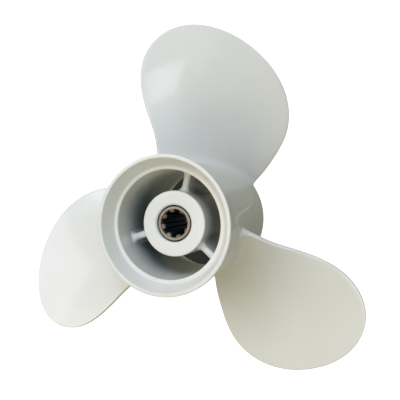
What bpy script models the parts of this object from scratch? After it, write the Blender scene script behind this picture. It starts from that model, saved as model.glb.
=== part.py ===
"""Three-bladed through-hub-exhaust propeller for a small outboard motor.

The propeller axis is Z, aft is +Z, and the forward end of the barrel lies in
the plane z = 0. Blade angles are counter-clockwise from +Y, seen from aft.
All constants are in millimetres or degrees; the meshes are made in metres.
"""

import math

import bmesh
import bpy
import numpy as np

for old in list(bpy.data.objects):
    bpy.data.objects.remove(old, do_unlink=True)

MM = 0.001
GAP = 0.3  # between neighbouring pieces of the one casting

# Barrel, with its flared aft ring
LENGTH = 87.0
FRONT_R = 39.2
WAIST_R = 36.2
WAIST_Z = 74.0
LIP_R = 38.95
BORE_R = 30.9
LAND_Z = 78.8
SKIRT_BORE_R = 34.8
SKIRT_DEPTH = 12.0
RING_SPLIT_Z = 72.0

# Inner hub
INNER_R_AFT = 19.1
INNER_R_FRONT = 20.2
INNER_FRONT_Z = 5.0
INNER_AFT_Z = 69.4
BUSH_BORE_R = 16.2
FLANGE_T = 4.4
FLANGE_HOLE_R = 10.75

# Ribs between the inner hub and the barrel
RIB_COUNT = 3
RIB_ANGLE = -12.0
RIB_T = 4.4
RIB_FILLET = 2.6
RIB_FRONT_Z = 8.0
RIB_AFT_Z = 63.0

# Blades
BLADE_COUNT = 3
TIP_R = 119.6
PITCH = 247.65
RAKE = 10.0
RAKE_FROM_R = 40.0
BLADE_Z = 39.2  # of the blade's reference line where it leaves the barrel
TRAILING = [(0.33, 23.6), (0.36, 22.3), (0.46, 19.1), (0.58, 18.3), (0.70, 17.6), (0.82, 15.3), (0.92, 11.1)]
TIP_ANGLE = 4.2
LEADING = [(0.97, -20.8), (0.90, -30.4), (0.80, -39.3), (0.68, -45.6), (0.54, -49.4), (0.40, -52.4), (0.33, -53.2)]
ROOT_T = 7.6
TIP_T = 2.4
EDGE_T_ROOT = 2.8
EDGE_T_TIP = 1.5
ROOT_FILLET = 4.5

# Drive sleeve and rubber bush
SPLINE_TEETH = 8
SPLINE_ANGLE = 14.7
SPLINE_MAJOR_R = 8.3
SPLINE_MINOR_R = 6.5
SLEEVE_FRONT_Z = 3.0
SLEEVE_AFT_Z = 68.4
SLEEVE_R = 11.0
COLLAR_R = 13.6
NOSE_R = 9.9
BUSH_R = BUSH_BORE_R - GAP
BUSH_FRONT_Z = 10.0
BUSH_AFT_Z = INNER_AFT_Z - FLANGE_T - GAP


def material(name, colour, metallic, roughness):
    made = bpy.data.materials.new(name)
    made.use_nodes = True
    shader = made.node_tree.nodes["Principled BSDF"]
    shader.inputs["Base Color"].default_value = (*colour, 1.0)
    shader.inputs["Metallic"].default_value = metallic
    shader.inputs["Roughness"].default_value = roughness
    made.diffuse_color = (*colour, 1.0)
    return made


def add(name, points, faces, made_of, flat_angle=40.0):
    """An object from points in millimetres, smooth-shaded except at sharp edges."""
    colour, metallic, roughness = made_of
    mesh = bpy.data.meshes.new(name)
    mesh.from_pydata([tuple(p) for p in np.asarray(points) * MM], [], faces)
    work = bmesh.new()
    work.from_mesh(mesh)
    bmesh.ops.remove_doubles(work, verts=work.verts, dist=1e-7)
    bmesh.ops.recalc_face_normals(work, faces=work.faces)
    for face in work.faces:
        face.smooth = True
    for edge in work.edges:
        edge.smooth = edge.calc_face_angle(0.0) < math.radians(flat_angle)
    work.to_mesh(mesh)
    work.free()
    mesh.materials.append(material(name + "_material", colour, metallic, roughness))
    obj = bpy.data.objects.new(name, mesh)
    bpy.context.scene.collection.objects.link(obj)
    return obj


def ring_faces(rows, columns):
    """Quads over a grid that closes on itself both ways."""
    return [
        (
            j * columns + i,
            j * columns + (i + 1) % columns,
            (j + 1) % rows * columns + (i + 1) % columns,
            (j + 1) % rows * columns + i,
        )
        for j in range(rows)
        for i in range(columns)
    ]


def revolve(name, profile, segments, made_of):
    """A closed (radius, z) outline turned about Z."""
    angles = np.arange(segments) * 2 * math.pi / segments
    points = [(r * math.cos(a), r * math.sin(a), z) for r, z in profile for a in angles]
    return add(name, points, ring_faces(len(profile), segments), made_of)


def arc(centre, radius, start, end, steps):
    """Points on an arc in the (radius, z) plane, angles in degrees from +radius."""
    return [
        (centre[0] + radius * math.cos(math.radians(a)), centre[1] + radius * math.sin(math.radians(a)))
        for a in np.linspace(start, end, steps + 1)
    ]


def barrel_r(z):
    """Outside radius of the barrel between its front and its waist."""
    return FRONT_R + (WAIST_R - FRONT_R) * np.clip(np.asarray(z) / WAIST_Z, 0.0, 1.0)


def inner_hub_r(z):
    share = (np.asarray(z) - INNER_FRONT_Z) / (INNER_AFT_Z - INNER_FRONT_Z)
    return INNER_R_FRONT + (INNER_R_AFT - INNER_R_FRONT) * share


def fillet(distance, radius):
    """How far a concave fillet stands out, this far from the wall it leaves."""
    inside = np.clip(radius - np.asarray(distance), 0.0, radius)
    return radius - np.sqrt(radius**2 - inside**2)


PAINT = ((0.80, 0.79, 0.74), 0.0, 0.30)
BRONZE = ((0.42, 0.33, 0.24), 1.0, 0.42)
RUBBER = ((0.02, 0.02, 0.02), 0.0, 0.75)


def make_barrel():
    split = RING_SPLIT_Z - GAP
    revolve(
        "barrel",
        [
            *arc((FRONT_R - 1.0, 1.0), 1.0, -90, 0, 3),
            (barrel_r(split), split),
            (BORE_R, split),
            (BORE_R + 0.5, SKIRT_DEPTH + 3.0),
            (SKIRT_BORE_R, SKIRT_DEPTH),
            (SKIRT_BORE_R, 0.6),
            (SKIRT_BORE_R + 0.6, 0.0),
        ],
        96,
        PAINT,
    )
    lip_round = 0.9
    revolve(
        "diffuser_ring",
        [
            (barrel_r(RING_SPLIT_Z), RING_SPLIT_Z),
            (WAIST_R, WAIST_Z),
            (WAIST_R + 0.35, WAIST_Z + 3.0),
            (WAIST_R + 1.15, WAIST_Z + 6.0),
            (LIP_R - 0.35, WAIST_Z + 9.4),
            *arc((LIP_R - lip_round, LENGTH - lip_round), lip_round, 0, 145, 5),
            (33.2, LAND_Z + 0.5),
            (32.4, LAND_Z),
            *arc((BORE_R + 0.8, LAND_Z - 0.8), 0.8, 90, 180, 3),
            (BORE_R, RING_SPLIT_Z),
        ],
        96,
        PAINT,
    )


def make_inner_hub():
    flange_z = INNER_AFT_Z - FLANGE_T
    revolve(
        "inner_hub",
        [
            (INNER_R_FRONT - 0.6, INNER_FRONT_Z),
            (INNER_R_FRONT, INNER_FRONT_Z + 0.6),
            *arc((INNER_R_AFT - 0.7, INNER_AFT_Z - 0.7), 0.7, 0, 90, 3),
            (FLANGE_HOLE_R + 0.85, INNER_AFT_Z),
            (FLANGE_HOLE_R, INNER_AFT_Z - 0.85),
            (FLANGE_HOLE_R, flange_z),
            (BUSH_BORE_R, flange_z),
            (BUSH_BORE_R, INNER_FRONT_Z + 1.0),
            (BUSH_BORE_R + 1.0, INNER_FRONT_Z),
        ],
        72,
        PAINT,
    )


def make_rib(number):
    """A radial web whose two ends follow the hub and the bore."""
    half = RIB_T / 2
    levels = [
        (half, RIB_FRONT_Z), (half, (RIB_FRONT_Z + RIB_AFT_Z) / 2),
        (half, RIB_AFT_Z - 1.4), (half * 0.6, RIB_AFT_Z - 0.35),
    ]
    turn = math.radians(RIB_ANGLE + number * 360.0 / RIB_COUNT)
    taper = 0.5 / (RING_SPLIT_Z - SKIRT_DEPTH - 3.0)

    def place(width, z, share):
        low = float(inner_hub_r(z)) + GAP
        high = BORE_R + (RING_SPLIT_Z - z) * taper * (z > SKIRT_DEPTH + 3.0) - GAP
        r = low + (high - low) * share
        flare = float(fillet(min(r - low, high - r), RIB_FILLET)) / half
        side = math.asin(width * (1 + flare) / r)
        return (-r * math.sin(turn + side), r * math.cos(turn + side), z)

    loop = levels + [(0.0, RIB_AFT_Z)] + [(-width, z) for width, z in reversed(levels)]
    count = len(loop)
    shares = [0.0, 0.04, 0.12, 0.22, 0.36, 0.5, 0.64, 0.78, 0.88, 0.96, 1.0]
    points = [place(width, z, share) for share in shares for width, z in loop]
    faces = [
        (j * count + i, j * count + (i + 1) % count, (j + 1) * count + (i + 1) % count, (j + 1) * count + i)
        for j in range(len(shares) - 1)
        for i in range(count)
    ]
    for share, first in ((0.0, 0), (1.0, (len(shares) - 1) * count)):
        rows = []
        for i, (width, z) in enumerate(levels):
            row = [first + i]
            for part in (0.5, 0.0, -0.5):
                row.append(len(points))
                points.append(place(width * part, z, share))
            rows.append(row + [first + count - 1 - i])
        for low, high in zip(rows, rows[1:]):
            faces += [(low[i], low[i + 1], high[i + 1], high[i]) for i in range(4)]
        faces += [(rows[-1][i], rows[-1][i + 1], first + len(levels)) for i in range(4)]
        for i in range(3):
            faces.append((rows[0][0], rows[0][i + 1], rows[0][i + 2]))
    add(f"rib_{number + 1}", points, faces, PAINT)


def blade_outline():
    """The blade's edge from trailing root to tip to leading root, as (radius, angle) in millimetres and radians."""
    stations = TRAILING + [(1.0, TIP_ANGLE)] + LEADING
    knots = np.array([(share * TIP_R, math.radians(angle)) for share, angle in stations])
    flat = np.c_[knots[:, 0] * np.cos(knots[:, 1]), knots[:, 0] * np.sin(knots[:, 1])]
    length = np.r_[0.0, np.cumsum(np.hypot(*np.diff(flat, axis=0).T))]
    gaps = np.diff(length)
    count = len(length)
    system, slopes = np.eye(count), np.zeros((count, 2))
    for i in range(1, count - 1):
        system[i, i - 1 : i + 2] = gaps[i - 1], 2 * (gaps[i - 1] + gaps[i]), gaps[i]
        slopes[i] = 6 * ((knots[i + 1] - knots[i]) / gaps[i] - (knots[i] - knots[i - 1]) / gaps[i - 1])
    bend = np.linalg.solve(system, slopes)
    line = []
    for t in np.linspace(0.0, length[-1], 600):
        i = min(int(np.searchsorted(length, t, side="right")) - 1, count - 2)
        a, b, h = length[i + 1] - t, t - length[i], gaps[i]
        line.append(
            (bend[i] * a**3 + bend[i + 1] * b**3) / (6 * h)
            + (knots[i] / h - bend[i] * h / 6) * a
            + (knots[i + 1] / h - bend[i + 1] * h / 6) * b
        )
    line = np.array(line)
    line[:, 0] *= TIP_R / line[:, 0].max()
    return line


def make_blade(number, line):
    """Pressure face on the helicoid, suction face arched, edges rounded, root filleted onto the barrel."""
    tip = int(line[:, 0].argmax())
    trailing, leading = line[: tip + 1], line[tip:][::-1]
    root = float(barrel_r(BLADE_Z)) + GAP
    heights = np.r_[0.0, 0.5, 1.3, 2.6, ROOT_FILLET]
    spans = root + (TIP_R - root) * np.sin(np.linspace(0.0, 0.5 * math.pi, 24))
    spans = np.r_[root + heights, spans[(spans > root + ROOT_FILLET + 2.0) & (spans < TIP_R)]]
    around = np.radians([0, 30, 60, 90])
    turn = 2 * math.pi * number / BLADE_COUNT
    points = []
    for r in spans:
        high = float(np.interp(r, trailing[:, 0], trailing[:, 1]))
        low = float(np.interp(r, leading[:, 0], leading[:, 1]))
        share = (r - root) / (TIP_R - root)
        slope = math.atan(PITCH / (2 * math.pi * r))
        flare = float(fillet(r - root, ROOT_FILLET))
        high += flare * math.cos(slope) / r
        chord = (high - low) * r / math.cos(slope)
        edge = EDGE_T_ROOT + (EDGE_T_TIP - EDGE_T_ROOT) * share
        thick = TIP_T + (ROOT_T - TIP_T) * (1 - share) ** 1.2
        band = min(edge / 2 + flare * 0.6, chord * 0.2)
        tip_round = math.sqrt(1 - max(0.0, 1 - (TIP_R - r) / (EDGE_T_TIP / 2)) ** 2)
        rim = band * (1 - np.cos(around))
        middle = np.linspace(band, chord - band, 14)
        along = np.r_[rim[:-1], middle, chord - rim[::-1][1:]]
        rounded = np.clip(1 - np.minimum(along, chord - along) / band, 0, 1)
        rounded = np.sqrt(1 - rounded**2) * tip_round
        arch = 1 - np.abs(2 * along / chord - 1) ** 2.2
        # The forward side's fillet runs out before it reaches the barrel's front edge
        room = np.clip((BLADE_Z + PITCH * (low + along * math.cos(slope) / r) / (2 * math.pi) - 2.0) / 9.0, 0.0, 1.0)
        front = rounded * (edge / 2 + flare)
        back = rounded * (edge / 2 + (thick - edge) * arch + flare * room)
        columns = len(along)
        onto_wall = max(0.0, 1 - (r - root) / 8.0)
        loop = [(i, 1.0, front[i]) for i in range(columns)]
        loop += [(i, -1.0, back[i]) for i in range(columns - 2, 0, -1)]
        for i, side, out in loop:
            angle = low + along[i] * math.cos(slope) / r
            z = BLADE_Z + math.tan(math.radians(RAKE)) * (r - RAKE_FROM_R) + PITCH * angle / (2 * math.pi)
            z += side * out * math.cos(slope)
            reach = r + onto_wall * (float(barrel_r(z)) + GAP - root)
            angle -= side * out * math.sin(slope) / reach
            points.append((-reach * math.sin(turn + angle), reach * math.cos(turn + angle), z))
    count = 2 * columns - 2
    faces = [
        (j * count + i, j * count + (i + 1) % count, (j + 1) * count + (i + 1) % count, (j + 1) * count + i)
        for j in range(len(spans) - 1)
        for i in range(count)
    ]
    tip_angle = float(line[tip, 1])
    points.append(
        (
            -TIP_R * math.sin(turn + tip_angle),
            TIP_R * math.cos(turn + tip_angle),
            BLADE_Z + math.tan(math.radians(RAKE)) * (TIP_R - RAKE_FROM_R) + PITCH * tip_angle / (2 * math.pi),
        )
    )
    last = (len(spans) - 1) * count
    faces += [(last + i, last + (i + 1) % count, len(points) - 1) for i in range(count)]
    across = [list(range(columns))]
    for share in (0.25, 0.5, 0.75):
        row = [0]
        for i in range(1, columns - 1):
            x, y, z = np.array(points[i]) * (1 - share) + np.array(points[count - i]) * share
            grow = (float(barrel_r(z)) + GAP) / math.hypot(x, y)
            row.append(len(points))
            points.append((x * grow, y * grow, z))
        across.append(row + [columns - 1])
    across.append([0] + [count - i for i in range(1, columns - 1)] + [columns - 1])
    for front_row, back_row in zip(across, across[1:]):
        for i in range(columns - 1):
            corners = (front_row[i], front_row[i + 1], back_row[i + 1], back_row[i])
            faces.append(tuple(dict.fromkeys(corners)))
    add(f"blade_{number + 1}", points, faces, PAINT)


def make_sleeve():
    """A stepped tube whose bore carries the internal spline."""
    pitch = 2 * math.pi / SPLINE_TEETH
    tooth = np.radians([-12.5, -11.0, -7.0, 0.0, 7.0, 11.0, 12.5])
    depth = np.array([0.0, 0.78, 1.0, 1.0, 1.0, 0.78, 0.0])
    groove = np.radians([17.0, 22.5, 28.0])
    angles, cut = [], []
    for i in range(SPLINE_TEETH):
        start = math.radians(SPLINE_ANGLE) + i * pitch
        angles += [start + a for a in tooth] + [start + a for a in groove]
        cut += list(depth) + [0.0] * len(groove)
    cut = np.array(cut) * (SPLINE_MAJOR_R - SPLINE_MINOR_R)
    outside = [
        (COLLAR_R - 0.5, SLEEVE_FRONT_Z), (COLLAR_R, SLEEVE_FRONT_Z + 0.5), (COLLAR_R, BUSH_FRONT_Z - GAP),
        (SLEEVE_R, BUSH_FRONT_Z - GAP), (SLEEVE_R, BUSH_AFT_Z - 1.0), (NOSE_R, BUSH_AFT_Z),
        (NOSE_R, SLEEVE_AFT_Z - 0.3), (NOSE_R - 0.3, SLEEVE_AFT_Z),
    ]
    inside = [
        (0.35, SLEEVE_AFT_Z, 0.0), (0.0, SLEEVE_AFT_Z - 0.35, 0.0), (0.0, SLEEVE_AFT_Z - 1.6, 0.0),
        (0.0, SLEEVE_AFT_Z - 2.7, 1.0), (0.0, SLEEVE_FRONT_Z + 2.4, 1.0), (0.0, SLEEVE_FRONT_Z + 1.2, 0.0),
        (0.0, SLEEVE_FRONT_Z + 0.4, 0.0), (0.4, SLEEVE_FRONT_Z, 0.0),
    ]
    points = [(-r * math.sin(a), r * math.cos(a), z) for r, z in outside for a in angles]
    for wider, z, share in inside:
        for a, c in zip(angles, cut):
            r = SPLINE_MAJOR_R + wider - share * c
            points.append((-r * math.sin(a), r * math.cos(a), z))
    add("spline_sleeve", points, ring_faces(len(outside) + len(inside), len(angles)), BRONZE, 30.0)


def make_bush():
    inner = SLEEVE_R + GAP
    revolve(
        "rubber_bush",
        [
            (inner + 0.6, BUSH_FRONT_Z), (BUSH_R - 0.8, BUSH_FRONT_Z), (BUSH_R, BUSH_FRONT_Z + 0.8),
            (BUSH_R, BUSH_AFT_Z - 0.8), (BUSH_R - 0.8, BUSH_AFT_Z), (inner + 0.6, BUSH_AFT_Z),
            (inner, BUSH_AFT_Z - 0.6), (inner, BUSH_FRONT_Z + 0.6),
        ],
        64,
        RUBBER,
    )


make_barrel()
make_inner_hub()
for rib in range(RIB_COUNT):
    make_rib(rib)
edge_line = blade_outline()
for blade in range(BLADE_COUNT):
    make_blade(blade, edge_line)
make_sleeve()
make_bush()
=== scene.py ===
"""Looks for the outboard propeller: one painted casting, a rubber bush and a splined bronze sleeve.

Lengths inside the mesh builders are in millimetres, with the propeller's axis on Z and aft at +Z.
Angles are counter-clockwise from +Y, seen from aft.
"""

import math

import bmesh
import bpy
import numpy as np
from mathutils import Matrix


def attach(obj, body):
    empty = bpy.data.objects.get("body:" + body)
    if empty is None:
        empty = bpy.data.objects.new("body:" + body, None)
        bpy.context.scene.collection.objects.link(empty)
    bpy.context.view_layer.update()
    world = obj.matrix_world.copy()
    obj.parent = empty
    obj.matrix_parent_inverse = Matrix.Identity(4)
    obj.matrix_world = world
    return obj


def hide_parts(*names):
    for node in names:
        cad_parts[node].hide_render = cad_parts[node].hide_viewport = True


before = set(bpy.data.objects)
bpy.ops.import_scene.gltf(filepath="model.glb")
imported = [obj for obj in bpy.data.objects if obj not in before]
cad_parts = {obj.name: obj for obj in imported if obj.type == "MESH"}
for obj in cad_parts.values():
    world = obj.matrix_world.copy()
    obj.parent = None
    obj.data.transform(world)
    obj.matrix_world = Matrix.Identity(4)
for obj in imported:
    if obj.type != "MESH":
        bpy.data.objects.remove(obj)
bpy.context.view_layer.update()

MM = 0.001
TAU = 2 * math.pi

# Casting. The fillets of the ribs and of the blades' roots are larger than in the CAD part.
GAP = 0.3  # that the CAD part leaves between neighbouring pieces
LENGTH = 87.0
FRONT_R, WAIST_R, WAIST_Z = 39.2, 36.2, 74.0
LIP_R = 38.95
BORE_R, LAND_Z = 30.9, 78.8
BORE_DRAFT, DRAFT_AFT_Z = 0.5, 64.0  # how far the bore widens towards the skirt, and from where
SKIRT_BORE_R, SKIRT_DEPTH = 34.8, 12.0
INNER_R_AFT, INNER_R_FRONT = 19.1, 20.2
INNER_FRONT_Z, INNER_AFT_Z = 5.0, 69.4
BUSH_BORE_R, FLANGE_T, FLANGE_HOLE_R = 16.2, 4.4, 10.75
RIB_ANGLE, RIB_T, RIB_FILLET = -12.0, 4.4, 3.2
RIB_FRONT_Z, RIB_AFT_Z = 8.0, 63.0
RIB_DRAFT = 0.5 / 57.5  # that each side leans outwards towards the front
BLADES = 3
TIP_R, PITCH = 119.6, 247.65
RAKE = math.tan(math.radians(10.0))
RAKE_FROM_R, BLADE_Z = 40.0, 39.2

# The blade's edge, as (share of the tip radius, angle)
TRAILING = [(0.33, 23.6), (0.36, 22.3), (0.46, 19.1), (0.58, 18.3), (0.70, 17.6), (0.82, 15.3), (0.92, 11.1)]
TIP_ANGLE = 4.2
LEADING = [
    (0.97, -20.8), (0.90, -30.4), (0.80, -39.3), (0.68, -45.6), (0.54, -49.4), (0.40, -52.4), (0.33, -53.2),
]
ROOT_T, TIP_T = 7.6, 2.4
TE_HALF_ROOT, TE_HALF_TIP = 1.4, 0.75
LE_HALF_ROOT, LE_HALF_TIP = 1.1, 0.7
TE_ROUND = 0.55  # the trailing edge's corners; between them it is flat
BLADE_ROOT_R, ROOT_FILLET = 37.6, 5.5
ROOT_REACH = 9.0  # over which the blade's foot bends onto the barrel
TIP_SHARE = 0.8  # beyond which the edge is rounded by distance from the outline

# Where the two mould halves met on the barrel, as (angle, z), from one blade's trailing root to the next
# leading root. Before it they met along the foot of the blade.
LEADING_ROOT = -52.3
PARTING = [(23.3, 58.0), (26.0, 61.8), (29.0, 64.6), (32.0, 66.2), (35.0, 66.0), (37.6, 63.0), (39.3, 57.2),
           (40.6, 48.0), (42.4, 38.5), (46.5, 28.0), (53.0, 17.0), (60.0, 8.6), (66.7, 2.4)]
PARTING_STEP, PARTING_WIDTH = 0.75, 1.0

# Sleeve and bush
TEETH, TOOTH_ANGLE = 8, 14.7
MAJOR_R, MINOR_R = 8.3, 6.5
SLEEVE_FRONT_Z, SLEEVE_AFT_Z = 3.0, 68.4
SLEEVE_R, COLLAR_R, NOSE_R = 11.0, 13.6, 9.9
BUSH_R, BUSH_FRONT_Z, BUSH_AFT_Z = BUSH_BORE_R - GAP, 10.0, INNER_AFT_Z - FLANGE_T - GAP


# ---------------------------------------------------------------- mesh helpers

def smooth(x):
    x = np.clip(x, 0.0, 1.0)
    return x * x * (3 - 2 * x)


def fillet(distance, radius):
    inside = np.clip(radius - np.asarray(distance, float), 0.0, radius)
    return radius - np.sqrt(np.maximum(radius**2 - inside**2, 0.0))


def rounded(corners, steps=6):
    """A closed outline of (r, z, radius) corners, each rounded by its radius."""
    made = []
    count = len(corners)
    for i, (r, z, radius) in enumerate(corners):
        here = np.array([r, z], float)
        before = np.array(corners[i - 1][:2], float) - here
        after = np.array(corners[(i + 1) % count][:2], float) - here
        if radius <= 0:
            made.append(tuple(here))
            continue
        before, after = before / np.linalg.norm(before), after / np.linalg.norm(after)
        half = math.acos(float(np.clip(before @ after, -1, 1))) / 2
        back = radius / math.tan(half)
        centre = here + (before + after) / np.linalg.norm(before + after) * radius / math.sin(half)
        first, last = here + before * back - centre, here + after * back - centre
        turn = math.atan2(first[0] * last[1] - first[1] * last[0], float(first @ last))
        for k in range(steps + 1):
            a = turn * k / steps
            made.append((
                centre[0] + first[0] * math.cos(a) - first[1] * math.sin(a),
                centre[1] + first[0] * math.sin(a) + first[1] * math.cos(a),
            ))
    return made


def refine(outline, longest):
    """The same closed outline with no side longer than this."""
    made = []
    for a, b in zip(outline, outline[1:] + outline[:1]):
        count = max(1, math.ceil(math.dist(a, b) / longest))
        made += [(a[0] + (b[0] - a[0]) * k / count, a[1] + (b[1] - a[1]) * k / count) for k in range(count)]
    return made


def closed_grid(rows, columns):
    return [
        (j * columns + i, j * columns + (i + 1) % columns,
         (j + 1) % rows * columns + (i + 1) % columns, (j + 1) % rows * columns + i)
        for j in range(rows) for i in range(columns)
    ]


def add(name, points, faces, paint, body, replaced, sharp=180.0):
    mesh = bpy.data.meshes.new(name)
    mesh.from_pydata([tuple(p) for p in np.asarray(points, float) * MM], [], faces)
    work = bmesh.new()
    work.from_mesh(mesh)
    bmesh.ops.remove_doubles(work, verts=work.verts, dist=1e-7)
    bmesh.ops.recalc_face_normals(work, faces=work.faces)
    for face in work.faces:
        face.smooth = True
    for edge in work.edges:
        edge.smooth = edge.calc_face_angle(0.0) < math.radians(sharp)
    work.to_mesh(mesh)
    work.free()
    mesh.materials.append(paint)
    piece = bpy.data.objects.new(name, mesh)
    bpy.context.scene.collection.objects.link(piece)
    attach(piece, body)
    if replaced:
        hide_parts(*replaced)
    return piece


# ---------------------------------------------------------------- materials

def new_material(name):
    made = bpy.data.materials.new(name)
    made.use_nodes = True
    nodes, links = made.node_tree.nodes, made.node_tree.links
    return made, nodes, links, nodes["Principled BSDF"]


def noise(nodes, links, where, scale, detail=2.0, roughness=0.5):
    node = nodes.new("ShaderNodeTexNoise")
    node.inputs["Scale"].default_value = scale
    node.inputs["Detail"].default_value = detail
    node.inputs["Roughness"].default_value = roughness
    links.new(where.outputs["Object"], node.inputs["Vector"])
    return node


def ramp(nodes, links, source, stops):
    node = nodes.new("ShaderNodeValToRGB")
    ends = node.color_ramp.elements
    while len(ends) < len(stops):
        ends.new(0.5)
    for end, (place, colour) in zip(ends, stops):
        end.position = place
        end.color = (*colour, 1.0)
    links.new(source, node.inputs["Fac"])
    return node


def spread(nodes, links, source, low, high):
    node = nodes.new("ShaderNodeMapRange")
    node.inputs["From Min"].default_value = 0.3
    node.inputs["From Max"].default_value = 0.7
    node.inputs["To Min"].default_value = low
    node.inputs["To Max"].default_value = high
    links.new(source, node.inputs["Value"])
    return node


def map_range(nodes, links, source, low, high, first=0.0, last=1.0):
    node = nodes.new("ShaderNodeMapRange")
    node.interpolation_type = "SMOOTHSTEP"
    node.inputs["From Min"].default_value = low
    node.inputs["From Max"].default_value = high
    node.inputs["To Min"].default_value = first
    node.inputs["To Max"].default_value = last
    links.new(source, node.inputs["Value"])
    return node.outputs["Result"]


def product(nodes, links, *sources):
    value = sources[0]
    for other in sources[1:]:
        node = nodes.new("ShaderNodeMath")
        node.operation = "MULTIPLY"
        links.new(value, node.inputs[0])
        links.new(other, node.inputs[1])
        value = node.outputs[0]
    return value


def axis_distance(nodes, links, split):
    flat = nodes.new("ShaderNodeCombineXYZ")
    links.new(split.outputs["X"], flat.inputs["X"])
    links.new(split.outputs["Y"], flat.inputs["Y"])
    length = nodes.new("ShaderNodeVectorMath")
    length.operation = "LENGTH"
    links.new(flat.outputs["Vector"], length.inputs[0])
    return length.outputs["Value"]


def mix_colour(nodes, links, factor, first, second):
    node = nodes.new("ShaderNodeMix")
    node.data_type = "RGBA"
    links.new(factor, node.inputs["Factor"])
    for colour, socket in ((first, node.inputs["A"]), (second, node.inputs["B"])):
        if isinstance(colour, tuple):
            socket.default_value = (*colour, 1.0)
        else:
            links.new(colour, socket)
    return node.outputs["Result"]


def paint_material():
    """Sprayed off-white enamel with fine orange peel, and painted blue-grey shade deep in the barrel's bore.
    """
    made, nodes, links, shader = new_material("marine_enamel")
    where = nodes.new("ShaderNodeTexCoord")
    mottle = noise(nodes, links, where, 28.0, 3.0)
    enamel_tones = [(0.30, (0.775, 0.762, 0.715)), (0.70, (0.812, 0.800, 0.765))]
    tone = ramp(nodes, links, mottle.outputs["Fac"], enamel_tones)

    place = nodes.new("ShaderNodeSeparateXYZ")
    links.new(where.outputs["Object"], place.inputs["Vector"])
    facing = nodes.new("ShaderNodeSeparateXYZ")
    links.new(where.outputs["Normal"], facing.inputs["Vector"])
    radius = axis_distance(nodes, links, place)
    # Painted shade: walls deep inside the barrel that don't face aft turn dark blue-grey, fading out towards
    # both ends.
    painted_bore_shade = product(
        nodes, links,
        map_range(nodes, links, radius, 0.0314, 0.0330, 1.0, 0.0),
        map_range(nodes, links, place.outputs["Z"], 0.043, 0.073, 1.0, 0.0),
        map_range(nodes, links, place.outputs["Z"], 0.004, 0.024),
        map_range(nodes, links, facing.outputs["Z"], 0.15, 0.75, 1.0, 0.0),
    )
    bore_shade_tones = [(0.3, (0.095, 0.160, 0.190)), (0.7, (0.140, 0.210, 0.245))]
    bore_shade = ramp(nodes, links, mottle.outputs["Fac"], bore_shade_tones)
    colour = mix_colour(nodes, links, painted_bore_shade, tone.outputs["Color"], bore_shade.outputs["Color"])
    links.new(colour, shader.inputs["Base Color"])

    cloud = noise(nodes, links, where, 160.0, 2.0)
    dullness = spread(nodes, links, cloud.outputs["Fac"], 0.28, 0.36)
    links.new(dullness.outputs["Result"], shader.inputs["Roughness"])
    peel = noise(nodes, links, where, 950.0, 1.5)
    wave = noise(nodes, links, where, 150.0, 1.0)
    fine = nodes.new("ShaderNodeBump")
    fine.inputs["Strength"].default_value = 0.25
    fine.inputs["Distance"].default_value = 0.00002
    links.new(peel.outputs["Fac"], fine.inputs["Height"])
    broad = nodes.new("ShaderNodeBump")
    broad.inputs["Strength"].default_value = 0.3
    broad.inputs["Distance"].default_value = 0.00005
    links.new(wave.outputs["Fac"], broad.inputs["Height"])
    links.new(fine.outputs["Normal"], broad.inputs["Normal"])
    links.new(broad.outputs["Normal"], shader.inputs["Normal"])
    links.new(broad.outputs["Normal"], shader.inputs["Coat Normal"])
    shader.inputs["Coat Weight"].default_value = 0.5
    shader.inputs["Coat Roughness"].default_value = 0.08
    shader.inputs["IOR"].default_value = 1.5
    return made


def bronze_material():
    """Turned bronze, dull and slightly stained, with painted dark shade deep in the splined bore."""
    made, nodes, links, shader = new_material("turned_bronze")
    where = nodes.new("ShaderNodeTexCoord")
    stain = noise(nodes, links, where, 260.0, 4.0, 0.6)
    tone = ramp(
        nodes, links, stain.outputs["Fac"],
        [(0.28, (0.26, 0.215, 0.17)), (0.5, (0.36, 0.31, 0.25)), (0.75, (0.41, 0.365, 0.30))],
    )
    place = nodes.new("ShaderNodeSeparateXYZ")
    links.new(where.outputs["Object"], place.inputs["Vector"])
    # Painted shade: the splined bore turns dark teal away from its two ends.
    painted_spline_shade = product(
        nodes, links,
        map_range(nodes, links, axis_distance(nodes, links, place), 0.00835, 0.0087, 1.0, 0.0),
        map_range(nodes, links, place.outputs["Z"], 0.0645, 0.0670, 1.0, 0.0),
        map_range(nodes, links, place.outputs["Z"], 0.0045, 0.0065),
    )
    colour = mix_colour(nodes, links, painted_spline_shade, tone.outputs["Color"], (0.022, 0.060, 0.062))
    links.new(colour, shader.inputs["Base Color"])
    shader.inputs["Metallic"].default_value = 0.8
    wear = noise(nodes, links, where, 500.0, 3.0)
    dullness = spread(nodes, links, wear.outputs["Fac"], 0.40, 0.55)
    links.new(dullness.outputs["Result"], shader.inputs["Roughness"])
    turned = nodes.new("ShaderNodeTexWave")
    turned.wave_type = "RINGS"
    turned.rings_direction = "Z"
    turned.inputs["Scale"].default_value = 900.0
    turned.inputs["Distortion"].default_value = 0.4
    links.new(where.outputs["Object"], turned.inputs["Vector"])
    bump = nodes.new("ShaderNodeBump")
    bump.inputs["Strength"].default_value = 0.25
    bump.inputs["Distance"].default_value = 0.00002
    links.new(turned.outputs["Fac"], bump.inputs["Height"])
    links.new(bump.outputs["Normal"], shader.inputs["Normal"])
    return made


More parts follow.
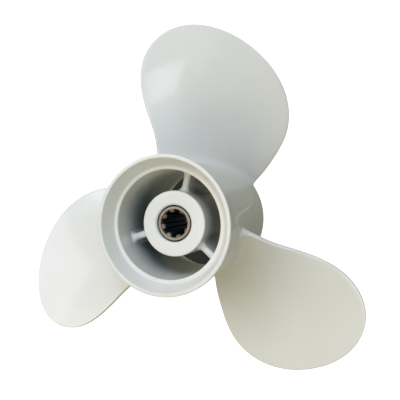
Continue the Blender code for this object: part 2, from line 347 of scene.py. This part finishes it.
def rubber_material():
    """Black rubber with a faint grey bloom."""
    made, nodes, links, shader = new_material("bush_rubber")
    where = nodes.new("ShaderNodeTexCoord")
    bloom = noise(nodes, links, where, 90.0, 4.0, 0.6)
    rubber_tones = [(0.35, (0.018, 0.018, 0.019)), (0.72, (0.045, 0.045, 0.046))]
    tone = ramp(nodes, links, bloom.outputs["Fac"], rubber_tones)
    links.new(tone.outputs["Color"], shader.inputs["Base Color"])
    dullness = spread(nodes, links, bloom.outputs["Fac"], 0.55, 0.8)
    links.new(dullness.outputs["Result"], shader.inputs["Roughness"])
    grain = noise(nodes, links, where, 1500.0, 2.0)
    bump = nodes.new("ShaderNodeBump")
    bump.inputs["Strength"].default_value = 0.4
    bump.inputs["Distance"].default_value = 0.00005
    links.new(grain.outputs["Fac"], bump.inputs["Height"])
    links.new(bump.outputs["Normal"], shader.inputs["Normal"])
    return made


# ---------------------------------------------------------------- casting

def barrel_r(angle, z):
    """Outside radius of the barrel ahead of its flare, with the step that the mould halves left."""
    base = FRONT_R + (WAIST_R - FRONT_R) * np.clip(z / WAIST_Z, 0.0, 1.0)
    knots = np.array([(LEADING_ROOT, BLADE_Z + PITCH * LEADING_ROOT / 360)] + PARTING)
    turn = (np.degrees(angle) - LEADING_ROOT) % (360.0 / BLADES) + LEADING_ROOT
    line = np.interp(turn, knots[:, 0], knots[:, 1])
    ahead = np.interp(turn + 0.5, knots[:, 0], knots[:, 1]) - np.interp(turn - 0.5, knots[:, 0], knots[:, 1])
    one_degree = math.radians(1.0) * 37.0  # along the barrel's wall
    below = (line - z) / np.sqrt(1 + (ahead / one_degree) ** 2)
    step = PARTING_STEP * smooth((z - 8.0) / 42.0) * smooth((WAIST_Z - z) / 7.0)
    return base + step * (smooth(below / PARTING_WIDTH + 0.5) - 0.4)


def make_barrel(paint):
    """Barrel and aft ring, turned as one, with the parting step on the outer wall."""
    lip = 0.65
    outline = rounded([
        (FRONT_R - 0.02, 0.0, 1.0), (WAIST_R, WAIST_Z, 9.0), (LIP_R + 0.1, 84.6, 2.6), (LIP_R, LENGTH, lip),
        (LIP_R - 2.1, LENGTH, lip), (33.0, LAND_Z + 0.1, 0.9), (32.4, LAND_Z, 0.5), (BORE_R, LAND_Z, 0.8),
        (BORE_R + 0.15, DRAFT_AFT_Z, 0.0), (BORE_R + BORE_DRAFT, SKIRT_DEPTH + 3.0, 2.0),
        (SKIRT_BORE_R, SKIRT_DEPTH, 0.8), (SKIRT_BORE_R, 0.0, 0.6),
    ], 7)
    outline = refine(outline, 1.3)
    columns = 540
    angles = np.arange(columns) * TAU / columns
    between_walls = 35.4
    points = []
    for r, z in outline:
        radius = np.full(columns, r)
        if r > between_walls and z < WAIST_Z:
            wall = FRONT_R + (WAIST_R - FRONT_R) * z / WAIST_Z
            radius = barrel_r(angles, np.full(columns, z)) + (r - wall)
        points.append(np.c_[-radius * np.sin(angles), radius * np.cos(angles), np.full(columns, z)])
    return add("barrel_casting", np.concatenate(points), closed_grid(len(outline), columns), paint,
               "propeller", ["barrel", "diffuser_ring"])


def inner_hub_r(z):
    return INNER_R_FRONT + (INNER_R_AFT - INNER_R_FRONT) * (z - INNER_FRONT_Z) / (INNER_AFT_Z - INNER_FRONT_Z)


def revolve(name, outline, columns, paint, body, replaced, sharp=180.0):
    angles = np.arange(columns) * TAU / columns
    points = [np.c_[-r * np.sin(angles), r * np.cos(angles), np.full(columns, z)] for r, z in outline]
    faces = closed_grid(len(outline), columns)
    return add(name, np.concatenate(points), faces, paint, body, replaced, sharp)


def make_inner_hub(paint):
    flange_z = INNER_AFT_Z - FLANGE_T
    chamfer, lead_in = 0.85, 1.0
    outline = rounded([
        (INNER_R_FRONT, INNER_FRONT_Z, 0.8), (INNER_R_AFT, INNER_AFT_Z, 0.9),
        (FLANGE_HOLE_R + chamfer, INNER_AFT_Z, 0.35), (FLANGE_HOLE_R, INNER_AFT_Z - chamfer, 0.3),
        (FLANGE_HOLE_R, flange_z, 0.3), (BUSH_BORE_R, flange_z, 0.4),
        (BUSH_BORE_R, INNER_FRONT_Z + lead_in, 0.4), (BUSH_BORE_R + lead_in, INNER_FRONT_Z, 0.3),
    ], 5)
    return revolve("inner_hub_casting", refine(outline, 4.0), 192, paint,
                   "propeller", ["inner_hub"])


def bore_r(z):
    return BORE_R + BORE_DRAFT * np.clip((DRAFT_AFT_Z - z) / (DRAFT_AFT_Z - SKIRT_DEPTH - 3.0), 0.0, 1.0)


def make_rib(number, paint):
    """A web with a crowned aft edge, filleted into the inner hub and the bore."""
    half = RIB_T / 2
    turn = math.radians(RIB_ANGLE + number * 360.0 / BLADES)
    crown_z = RIB_AFT_Z - half
    side = [(half + RIB_DRAFT * (RIB_AFT_Z - z), z) for z in np.linspace(RIB_FRONT_Z, crown_z, 16)]
    crown = [
        (half * math.cos(a), crown_z + half * math.sin(a)) for a in np.linspace(0, math.pi / 2, 9)[1:-1]
    ]
    loop = side + crown + [(0.0, RIB_AFT_Z)] + [(-w, z) for w, z in reversed(side + crown)]
    shares = 0.5 * (1 - np.cos(np.linspace(0, math.pi, 45)))
    sunk = 0.15  # into the inner hub and the barrel
    points, count = [], len(loop)
    for share in shares:
        for width, z in loop:
            low, high = inner_hub_r(z) - sunk, float(bore_r(z)) + sunk
            r = low + (high - low) * share
            flare = float(fillet(min(r - low, high - r), RIB_FILLET))
            lift = flare * 0.75 * smooth((z - RIB_AFT_Z + 2 * half) / (2 * half))
            wide = width * (1 + flare / half)
            angle = math.asin(wide / r)
            points.append((-r * math.sin(turn + angle), r * math.cos(turn + angle), z + float(lift)))
    faces = [
        (j * count + i, j * count + (i + 1) % count, (j + 1) * count + (i + 1) % count, (j + 1) * count + i)
        for j in range(len(shares) - 1) for i in range(count)
    ]
    last = (len(shares) - 1) * count
    faces += [tuple(range(count)), tuple(last + i for i in range(count))]
    return add(f"rib_casting_{number + 1}", points, faces, paint,
               "propeller", [f"rib_{number + 1}"])


# ---------------------------------------------------------------- blades

def blade_outline():
    """The blade's edge as (radius, angle), from trailing root round the tip to leading root."""
    stations = TRAILING + [(1.0, TIP_ANGLE)] + LEADING
    knots = np.array([(share * TIP_R, math.radians(angle)) for share, angle in stations])
    flat = np.c_[knots[:, 0] * np.cos(knots[:, 1]), knots[:, 0] * np.sin(knots[:, 1])]
    length = np.r_[0.0, np.cumsum(np.hypot(*np.diff(flat, axis=0).T))]
    gaps, count = np.diff(length), len(length)
    system, slopes = np.eye(count), np.zeros((count, 2))
    for i in range(1, count - 1):
        system[i, i - 1 : i + 2] = gaps[i - 1], 2 * (gaps[i - 1] + gaps[i]), gaps[i]
        slopes[i] = 6 * ((knots[i + 1] - knots[i]) / gaps[i] - (knots[i] - knots[i - 1]) / gaps[i - 1])
    bend = np.linalg.solve(system, slopes)
    line = []
    for t in np.linspace(0.0, length[-1], 1500):
        i = min(int(np.searchsorted(length, t, side="right")) - 1, count - 2)
        a, b, h = length[i + 1] - t, t - length[i], gaps[i]
        line.append(
            (bend[i] * a**3 + bend[i + 1] * b**3) / (6 * h)
            + (knots[i] / h - bend[i] * h / 6) * a + (knots[i + 1] / h - bend[i + 1] * h / 6) * b
        )
    line = np.array(line)
    line[:, 0] *= TIP_R / line[:, 0].max()
    return line


def edge_distance(radius, angle, line):
    """Distance in the blade's surface from each point to the nearest point of its edge."""
    stretch = 1 / np.cos(np.arctan(PITCH / (TAU * radius)))[..., None]
    across = (angle[..., None] - line[:, 1]) * radius[..., None] * stretch
    return np.sqrt((across**2 + (radius[..., None] - line[:, 0]) ** 2).min(axis=-1))


def blade_shape(line):
    """Grids of (radius, angle, z) for the pressure side and the suction side of the blade at angle 0."""
    tip = int(line[:, 0].argmax())
    trailing, leading = line[: tip + 1], line[tip:][::-1]
    root = BLADE_ROOT_R
    foot = root + ROOT_FILLET * (1 - np.cos(np.radians(np.linspace(0, 90, 13))))
    sweep = root + (TIP_R - root) * np.sin(np.linspace(0.0, 0.5 * math.pi, 96))
    radii = np.r_[foot, sweep[sweep > foot[-1] + 0.5][:-1], TIP_R - 0.004]
    rim = 1 - np.cos(np.radians(np.linspace(0, 90, 7)))
    fronts, backs = [], []
    for r in radii:
        flare = float(fillet(r - root, ROOT_FILLET))
        high = float(np.interp(r, trailing[:, 0], trailing[:, 1]))
        low = float(np.interp(r, leading[:, 0], leading[:, 1]))
        slope = math.atan(PITCH / (TAU * r))
        share = np.clip((r - root) / (TIP_R - root), 0, 1)
        te = TE_HALF_ROOT + (TE_HALF_TIP - TE_HALF_ROOT) * share
        le = LE_HALF_ROOT + (LE_HALF_TIP - LE_HALF_ROOT) * share
        te_round = TE_ROUND + 0.9 * flare
        high += 0.5 * flare * math.cos(slope) / r
        chord = (high - low) * r / math.cos(slope)
        le_band, te_band = min(le + 0.5 * flare, chord * 0.2), min(te_round, chord * 0.2)
        middle = np.linspace(le_band, chord - te_band, 44)
        along = np.r_[le_band * rim[:-1], middle, chord - te_band * rim[::-1][1:]]
        angle = low + along * math.cos(slope) / r
        part = along / chord
        half = le + (te - le) * part
        soft = np.where(part < 0.5, half, np.minimum(half, te_round))
        if r > TIP_SHARE * TIP_R:
            distance, band = edge_distance(np.full_like(angle, r), angle, line), soft
        else:
            distance, band = np.minimum(along, chord - along), np.where(part < 0.5, le_band, te_band)
        inside = np.clip(1 - distance / np.maximum(band, 1e-6), 0, 1)
        curve = np.sqrt(1 - inside**2)
        thick = TIP_T + (ROOT_T - TIP_T) * (1 - share) ** 1.2
        arch = np.maximum(thick - 2 * half, 0) * (1 - np.abs(2 * part - 1) ** 2.2)
        z_mid = BLADE_Z + RAKE * (r - RAKE_FROM_R) + PITCH * angle / TAU
        room = np.clip((z_mid - 2.0) / 10.0, 0.0, 1.0)
        hard = half - soft
        front = hard + (soft + flare) * curve
        thin = 1 - 0.8 * smooth((part - 0.72) / 0.26)
        back = hard + (soft + flare * room * thin + arch) * curve
        for grid, out, sign in ((fronts, front, 1.0), (backs, back, -1.0)):
            grid.append(np.c_[np.full_like(angle, r), angle - sign * out * math.sin(slope) / r,
                              z_mid + sign * out * math.cos(slope)])
    fronts, backs = np.array(fronts), np.array(backs)
    for grid in (fronts, backs):
        onto = np.clip(1 - (grid[..., 0] - root) / ROOT_REACH, 0, 1)
        wall = barrel_r(grid[..., 1], grid[..., 2])
        sunk = 0.06
        grid[..., 0] += onto * (wall - sunk - root)
    return fronts, backs


def make_blade(number, shape, paint):
    """One blade, turned round the axis to its place and closed at the tip and the foot."""
    fronts, backs = shape
    rows, columns = fronts.shape[:2]
    turn = TAU * number / BLADES
    ring = np.concatenate([fronts, backs[:, ::-1]], axis=1)
    count = ring.shape[1]
    r, a, z = ring[..., 0].ravel(), ring[..., 1].ravel() + turn, ring[..., 2].ravel()
    points = np.c_[-r * np.sin(a), r * np.cos(a), z]
    faces = [
        (j * count + i, j * count + (i + 1) % count, (j + 1) * count + (i + 1) % count, (j + 1) * count + i)
        for j in range(rows - 1) for i in range(count)
    ]
    last = (rows - 1) * count
    for first in (last, 0):
        end = first + count - 1
        faces += [(first + i, first + i + 1, end - 1 - i, end - i) for i in range(columns - 1)]
    return add(f"blade_casting_{number + 1}", points, faces, paint, "propeller",
               [f"blade_{number + 1}"])


# ---------------------------------------------------------------- sleeve and bush

def make_sleeve(metal):
    """Stepped tube with rounded internal teeth whose ends are turned back to a lead-in cone."""
    columns = 384
    angles = np.arange(columns) * TAU / columns
    spacing = 360.0 / TEETH
    turn = (np.degrees(angles) - TOOTH_ANGLE + spacing / 2) % spacing - spacing / 2
    tooth = smooth((12.6 - np.abs(turn)) / 3.8)
    tooth = tooth * (1 - 0.10 * (np.abs(turn) / 10.0) ** 2)
    outside = rounded([
        (COLLAR_R, SLEEVE_FRONT_Z, 0.5), (COLLAR_R, BUSH_FRONT_Z - GAP, 0.4),
        (SLEEVE_R, BUSH_FRONT_Z - GAP, 0.0), (SLEEVE_R, BUSH_AFT_Z - 1.0, 0.0), (NOSE_R, BUSH_AFT_Z, 0.0),
        (NOSE_R, SLEEVE_AFT_Z, 0.35),
        (MAJOR_R, SLEEVE_AFT_Z, 0.3), (MAJOR_R, 40.0, 0.0), (MAJOR_R, SLEEVE_FRONT_Z, 0.4),
    ], 4)
    outline = refine(outside, 0.9)
    points = []
    for r, z in outline:
        radius = np.full(columns, r)
        if r < MAJOR_R + 1e-6:
            aft, front = SLEEVE_AFT_Z - 1.1 - z, z - SLEEVE_FRONT_Z - 0.9
            share = smooth(np.array(aft / 1.5)) * smooth(np.array(front / 1.5))
            radius = r - (MAJOR_R - MINOR_R) * tooth * float(share)
        points.append(np.c_[-radius * np.sin(angles), radius * np.cos(angles), np.full(columns, z)])
    return add("sleeve_turned", np.concatenate(points), closed_grid(len(outline), columns), metal,
               "drive_sleeve", ["spline_sleeve"], 50.0)


def make_bush(rubber):
    """Rubber ring between sleeve and inner hub, with a moulded hollow in its front face."""
    inner = SLEEVE_R + 0.02
    outline = rounded([
        (inner, BUSH_FRONT_Z, 0.9), (13.4, BUSH_FRONT_Z + 1.0, 2.0), (BUSH_R, BUSH_FRONT_Z, 0.9),
        (BUSH_R, BUSH_AFT_Z, 0.8), (inner, BUSH_AFT_Z, 0.8),
    ], 6)
    return revolve("bush_moulded", refine(outline, 3.0), 160, rubber,
                   "drive_sleeve", ["rubber_bush"])


# ---------------------------------------------------------------- stage, light and camera

def make_floor():
    """White floor rising into a white dome far away. Both only show to the camera, and not from below."""
    # Within this radius, under the barrel, the floor is a dark disc of painted shade.
    shaded_disc_r, level, far = 0.0375, -0.0004, 3.0
    rings = [(shaded_disc_r, level), (shaded_disc_r + 0.0003, level), (0.4, level), (far, level)]
    rings += [(far * math.cos(a), level + far * math.sin(a)) for a in np.linspace(0, math.pi / 2, 13)[1:-1]]
    columns = 96
    angles = [TAU * i / columns for i in range(columns)]
    points = [(0.0, 0.0, level)] + [(r * math.cos(a), r * math.sin(a), z) for r, z in rings for a in angles]
    points.append((0.0, 0.0, level + far))
    faces = [(0, 1 + i, 1 + (i + 1) % columns) for i in range(columns)]
    for j in range(len(rings) - 1):
        a, b = 1 + j * columns, 1 + (j + 1) * columns
        faces += [(a + i, b + i, b + (i + 1) % columns, a + (i + 1) % columns) for i in range(columns)]
    last = 1 + (len(rings) - 1) * columns
    faces += [(last + i, len(points) - 1, last + (i + 1) % columns) for i in range(columns)]
    mesh = bpy.data.meshes.new("floor")
    mesh.from_pydata(points, [], faces)
    floor = bpy.data.objects.new("floor", mesh)
    bpy.context.scene.collection.objects.link(floor)
    mesh.materials.append(stage_material("studio_floor", (0.86, 0.86, 0.86), 0.92))
    # A dull dark disc with no glow: painted shade on the floor inside the barrel's foot.
    mesh.materials.append(stage_material("studio_floor_painted_shade", (0.20, 0.23, 0.24), 0.0))
    for face in mesh.polygons:
        if face.center.length < shaded_disc_r:
            face.material_index = 1
    floor.visible_diffuse = False
    floor.visible_glossy = False
    floor.visible_shadow = False


def stage_material(name, colour, glow):
    made, nodes, links, shader = new_material(name)
    shader.inputs["Base Color"].default_value = (*colour, 1.0)
    shader.inputs["Roughness"].default_value = 0.9
    shader.inputs["Emission Color"].default_value = (1.0, 1.0, 1.0, 1.0)
    shader.inputs["Emission Strength"].default_value = glow
    side = nodes.new("ShaderNodeNewGeometry")
    clear = nodes.new("ShaderNodeBsdfTransparent")
    mix = nodes.new("ShaderNodeMixShader")
    links.new(side.outputs["Backfacing"], mix.inputs["Fac"])
    links.new(shader.outputs["BSDF"], mix.inputs[1])
    links.new(clear.outputs["BSDF"], mix.inputs[2])
    links.new(mix.outputs["Shader"], nodes["Material Output"].inputs["Surface"])
    return made


def soft_light(name, direction, distance, size, power, colour):
    """A square lamp that shines from this direction at a point on the axis, inside the barrel."""
    data = bpy.data.lights.new(name, "AREA")
    data.shape = "SQUARE"
    data.size = size
    data.energy = power
    data.color = colour
    light = bpy.data.objects.new(name, data)
    bpy.context.scene.collection.objects.link(light)
    back = np.array(direction, float)
    back /= np.linalg.norm(back)
    side = np.cross([0.0, 1.0, 0.0] if abs(back[2]) > 0.5 else [0.0, 0.0, 1.0], back)
    side /= np.linalg.norm(side)
    up = np.cross(back, side)
    aim = np.array([0.0, 0.0, 0.05])
    place = aim + back * distance
    light.matrix_world = Matrix([(side[i], up[i], back[i], place[i]) for i in range(3)] + [(0, 0, 0, 1)])
    return light


LIGHTS = [
    # name, direction the light comes from, distance, size, power, colour
    ("axis", (0.0, 0.05, 1.0), 1.3, 0.7, 2.2, (0.66, 0.76, 1.0)),
    ("high_left", (-0.55, 0.35, 0.8), 1.3, 0.7, 3.9, (0.90, 0.85, 1.0)),
    ("high_low", (-0.1, -0.6, 0.8), 1.3, 0.7, 3.2, (1.0, 0.94, 0.58)),
    ("high_right", (0.65, 0.3, 0.8), 1.3, 0.7, 1.7, (0.42, 0.68, 1.0)),
    ("high_top", (0.05, 0.6, 0.8), 1.3, 0.7, 5.8, (0.77, 0.87, 1.0)),
    ("left", (-0.9, 0.0, 0.4), 1.3, 0.9, 2.1, (1.0, 0.88, 0.50)),
    ("top", (0.0, 0.85, 0.5), 1.3, 0.9, 1.7, (0.72, 0.86, 1.0)),
    ("window", (0.409, 0.133, 0.796), 0.905, 0.15, 0.30, (0.95, 0.98, 1.0)),
]


def make_lights():
    for light in LIGHTS:
        soft_light(*light)
    world = bpy.data.worlds.new("studio")
    bpy.context.scene.world = world
    world.use_nodes = True
    world.node_tree.nodes["Background"].inputs["Color"].default_value = (1.0, 0.95, 0.70, 1.0)
    world.node_tree.nodes["Background"].inputs["Strength"].default_value = 0.235


def make_camera():
    """Close above the aft end, off to the right of the axis, leaning towards it."""
    tilt, heading = 0.329, 0.058  # radians
    c, s = math.cos(heading), math.sin(heading)
    about = np.array([[c, -s, 0], [s, c, 0], [0, 0, 1.0]])
    lean = np.array([[math.cos(tilt), 0, -math.sin(tilt)], [0, 1, 0], [math.sin(tilt), 0, math.cos(tilt)]])
    turn = about @ lean @ about.T
    aside = np.array([0.02103, 0.01392, 0.2512])  # from the aft end's middle, in the camera's own axes
    place = turn.T @ aside + np.array([0, 0, LENGTH * MM])
    data = bpy.data.cameras.new("camera")
    data.sensor_width = 36.0
    data.lens = 41.87
    data.clip_start = 0.01
    camera = bpy.data.objects.new("camera", data)
    bpy.context.scene.collection.objects.link(camera)
    rows = [(turn[0][i], turn[1][i], turn[2][i], place[i]) for i in range(3)]
    camera.matrix_world = Matrix(rows + [(0, 0, 0, 1)])
    bpy.context.scene.camera = camera


enamel = paint_material()
make_barrel(enamel)
make_inner_hub(enamel)
for index in range(BLADES):
    make_rib(index, enamel)
blade = blade_shape(blade_outline())
for index in range(BLADES):
    make_blade(index, blade, enamel)
make_sleeve(bronze_material())
make_bush(rubber_material())
make_floor()
make_lights()
make_camera()
bpy.context.scene.view_settings.view_transform = "Standard"
